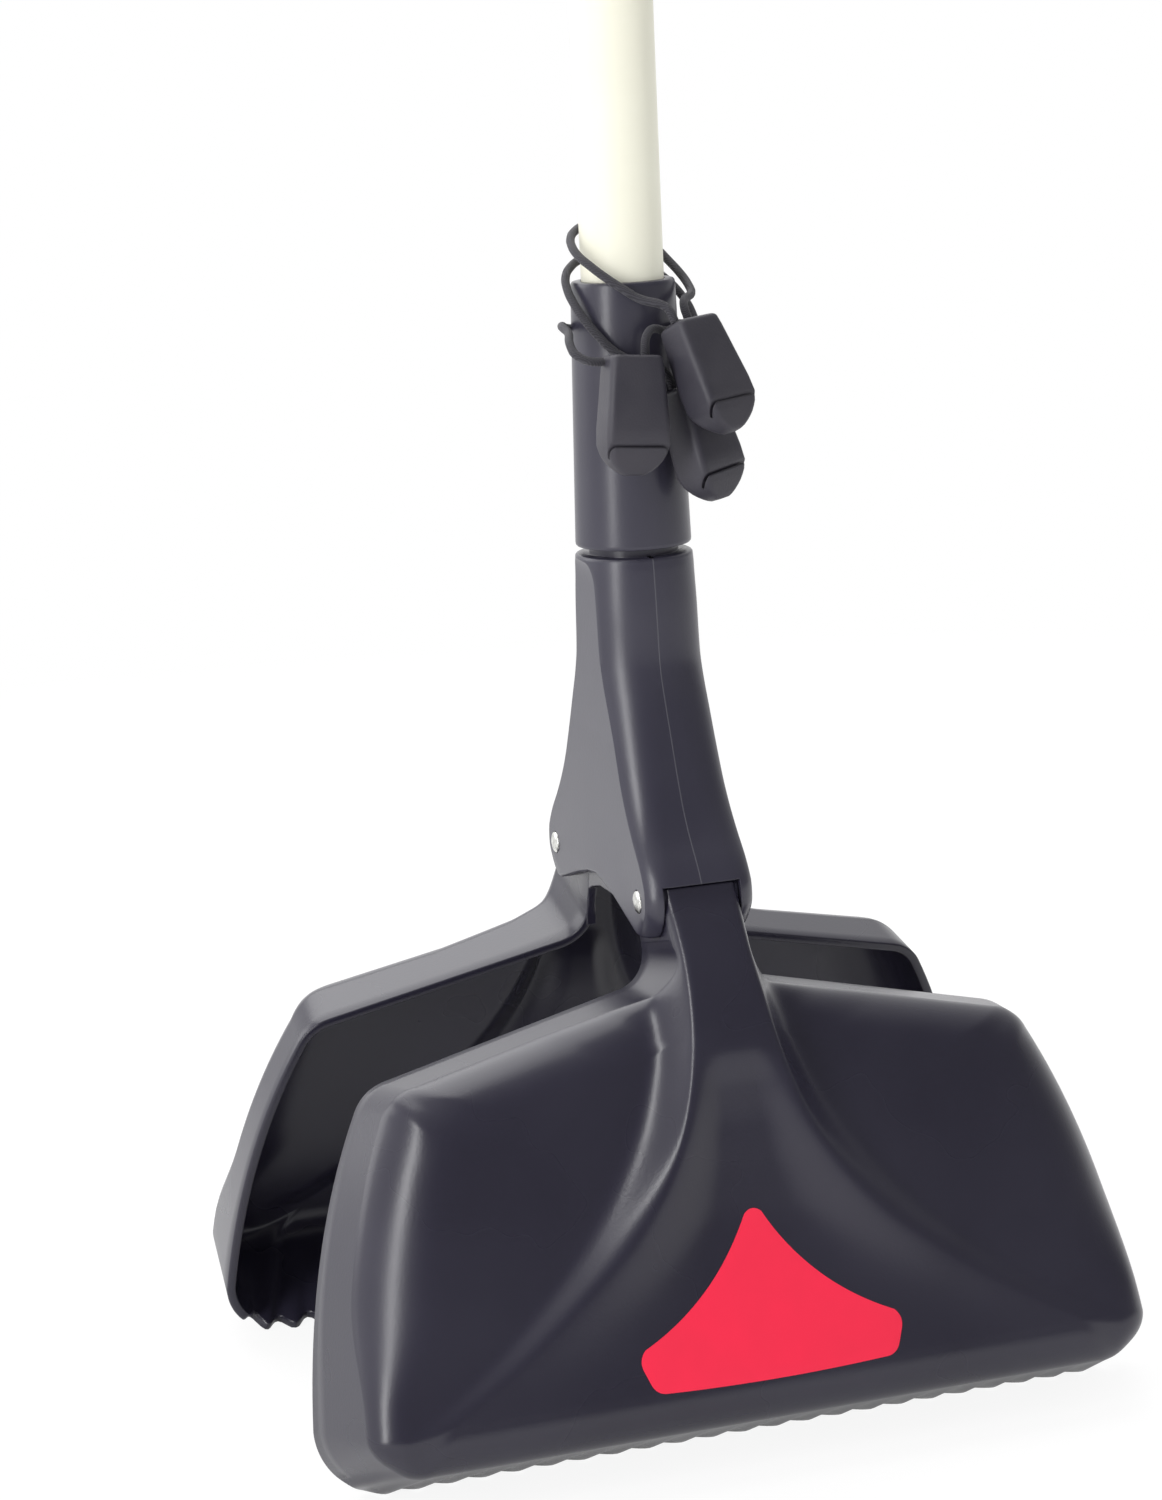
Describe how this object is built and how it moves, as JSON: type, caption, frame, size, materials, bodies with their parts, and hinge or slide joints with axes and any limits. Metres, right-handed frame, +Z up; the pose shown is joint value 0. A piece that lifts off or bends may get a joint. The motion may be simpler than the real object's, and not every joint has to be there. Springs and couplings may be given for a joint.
{
  "type": "pooper scooper",
  "caption": "long-handled pet waste scoop: two toothed jaws on a forked yoke close together when a pull bar in the loop handle is lifted; bag clips hang on elastic loops at the collar",
  "frame": {"origin": "on the floor at the middle of the part, level with the tips of the teeth", "axes": "+Z up along the pole, +X along the jaws' hinge pins, the jaw whose panel is seen in the picture towards -Y"},
  "size_m": [0.2296, 0.1828, 0.886],
  "materials": {
    "black_plastic": "fine grain moulding",
    "soft_black": "soft matte",
    "elastic": "round braided elastic",
    "cream_metal": "satin paint",
    "steel": "bright zinc"
  },
  "bodies": {
    "pole": {"tube": "cream_metal", "yoke": "black_plastic", "collar": "black_plastic", "front_pivot_pin": "steel", "back_pivot_pin": "steel", "rod_guide": "black_plastic", "return_spring": "steel", "handle_left": "black_plastic", "handle_right": "black_plastic", "handle_screw_1": "steel", "handle_screw_2": "steel", "handle_screw_3": "steel", "handle_screw_4": "steel", "clip_front": "soft_black", "clip_right": "soft_black", "clip_low": "soft_black", "elastic_front": "elastic", "elastic_right": "elastic", "elastic_low": "elastic"},
    "puller": {"pull_rod": "steel", "pull_bar": "black_plastic", "pull_bar_pin": "steel", "rod_end": "steel", "drive_pin": "steel"},
    "front_scoop": {"front_jaw": "black_plastic"},
    "back_scoop": {"back_jaw": "black_plastic"}
  },
  "joints": [
    {"name": "rod_slide", "type": "slide", "parent": "pole", "child": "puller", "axis": [0, 0, 1], "range_m": [0, 0.01507], "stiffness_N_per_m": 500, "springref_m": -0.012, "deforming": ["return_spring"]},
    {"name": "front_hinge", "type": "hinge", "parent": "pole", "child": "front_scoop", "pos_m": [0, -0.0364, 0.14203], "axis": [1, 0, 0], "range_deg": [0, 23.4]},
    {"name": "back_hinge", "type": "hinge", "parent": "pole", "child": "back_scoop", "pos_m": [0, 0.0364, 0.14203], "axis": [-1, 0, 0], "range_deg": [0, 23.4]}
  ],
  "couplings": [
    {"joint": "front_hinge", "follows": "rod_slide", "rad_per_m": 27.09},
    {"joint": "back_hinge", "follows": "rod_slide", "rad_per_m": 27.09}
  ]
}
